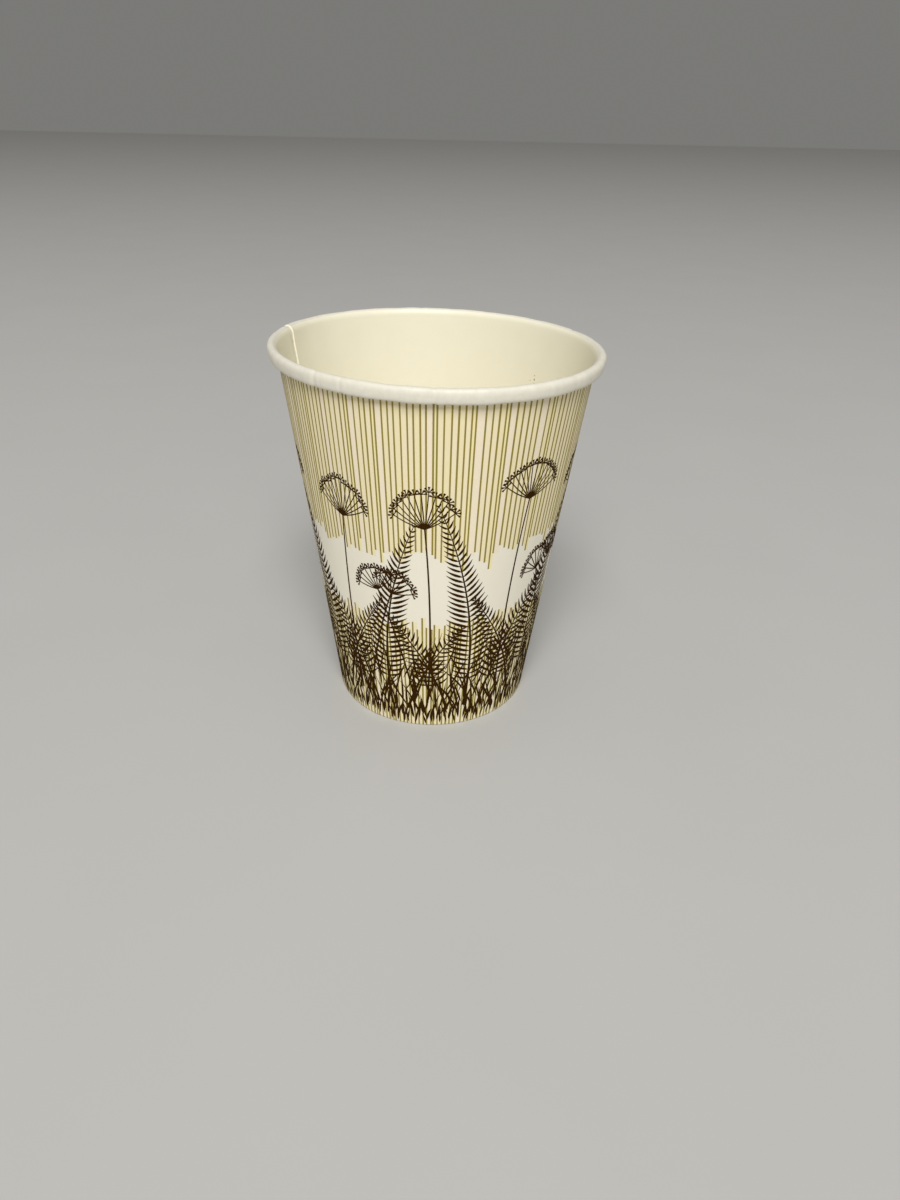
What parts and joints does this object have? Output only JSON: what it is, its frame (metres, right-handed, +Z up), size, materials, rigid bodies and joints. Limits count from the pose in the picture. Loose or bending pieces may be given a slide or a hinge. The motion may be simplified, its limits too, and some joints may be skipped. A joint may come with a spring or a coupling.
{
  "type": "paper cup",
  "caption": "Used paper cup for hot drinks: tapered side wall with a lapped seam and a rolled rim, and a recessed bottom held in a folded hem.",
  "frame": {"origin": "centre of the ring that the cup stands on, at table level", "axes": "+Z up along the cup's axis, -Y towards the side that the picture shows"},
  "size_m": [0.0922, 0.0884, 0.109],
  "materials": {
    "printed_cup_board": "printed outside, polyethylene coated inside, semi-matt",
    "coated_bottom_board": "polyethylene coated, satin"
  },
  "bodies": {
    "root": {"side_wall": "printed_cup_board", "bottom": "coated_bottom_board"}
  },
  "joints": []
}
